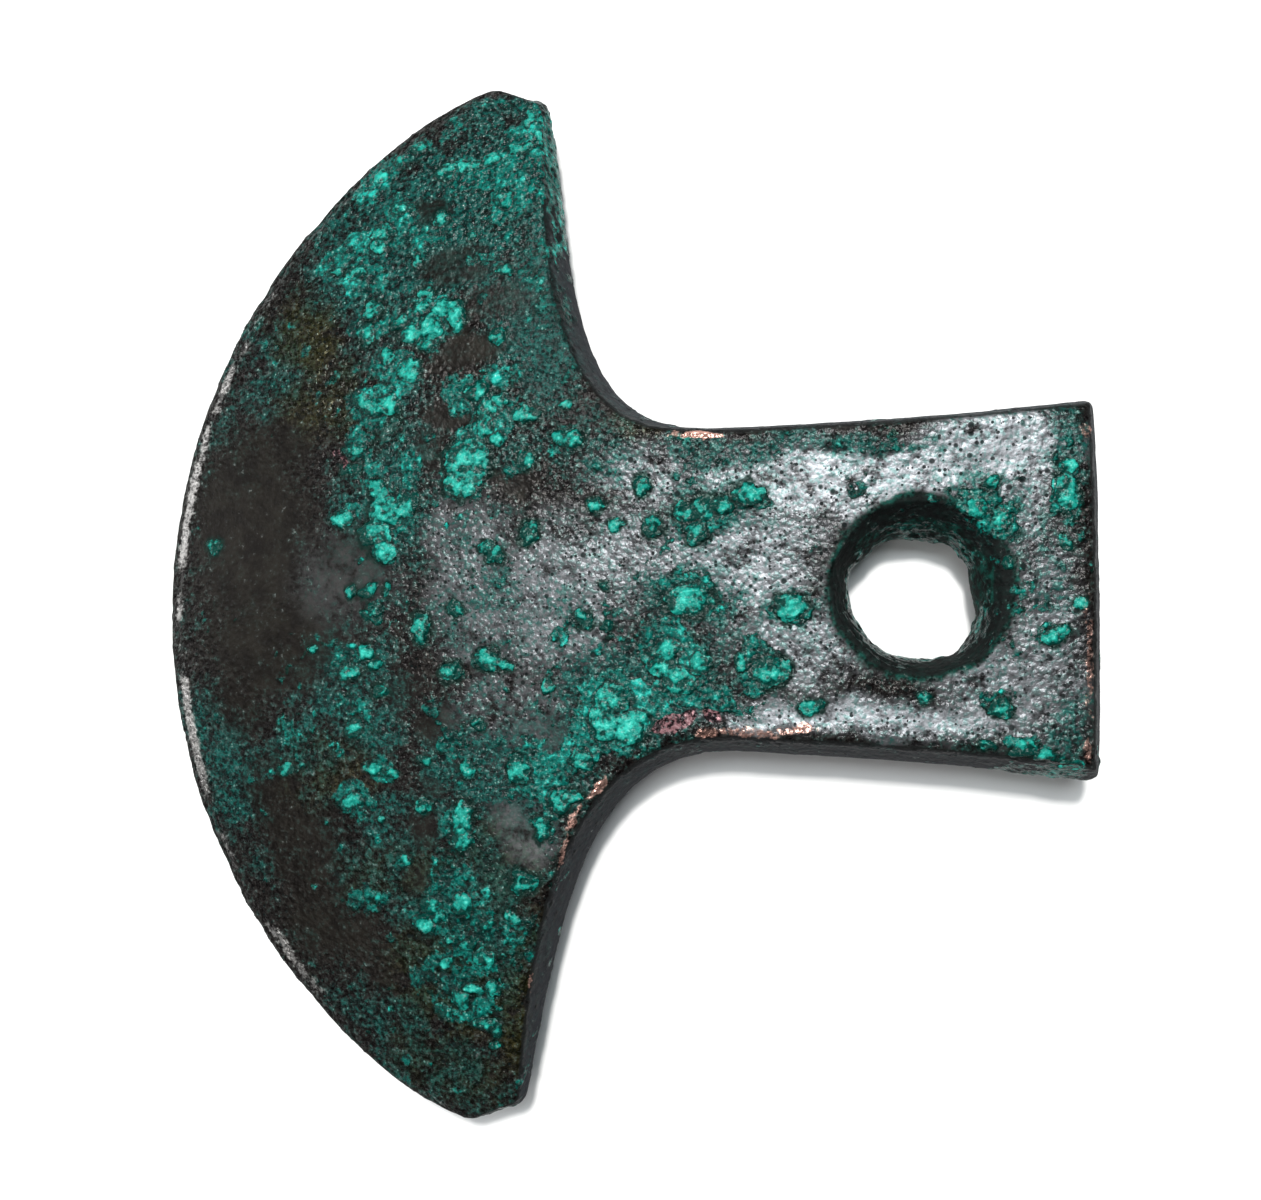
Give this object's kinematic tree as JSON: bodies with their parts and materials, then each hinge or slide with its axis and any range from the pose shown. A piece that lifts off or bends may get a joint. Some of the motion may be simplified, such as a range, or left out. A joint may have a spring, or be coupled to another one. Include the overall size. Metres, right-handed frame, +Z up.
{
  "type": "axe head",
  "caption": "Cast bronze axe head with a broad crescent blade, two blunt horns and a waisted, pierced tang.",
  "frame": {"origin": "middle of the underside, as the axe head lies flat", "axes": "+X from the cutting edge to the butt, +Y from one horn tip to the other, +Z up through the thickness"},
  "size_m": [0.134, 0.15, 0.012],
  "materials": {
    "patinated_bronze": "dark satin bronze with green corrosion"
  },
  "bodies": {
    "root": {"axe_head": "patinated_bronze"}
  },
  "joints": []
}
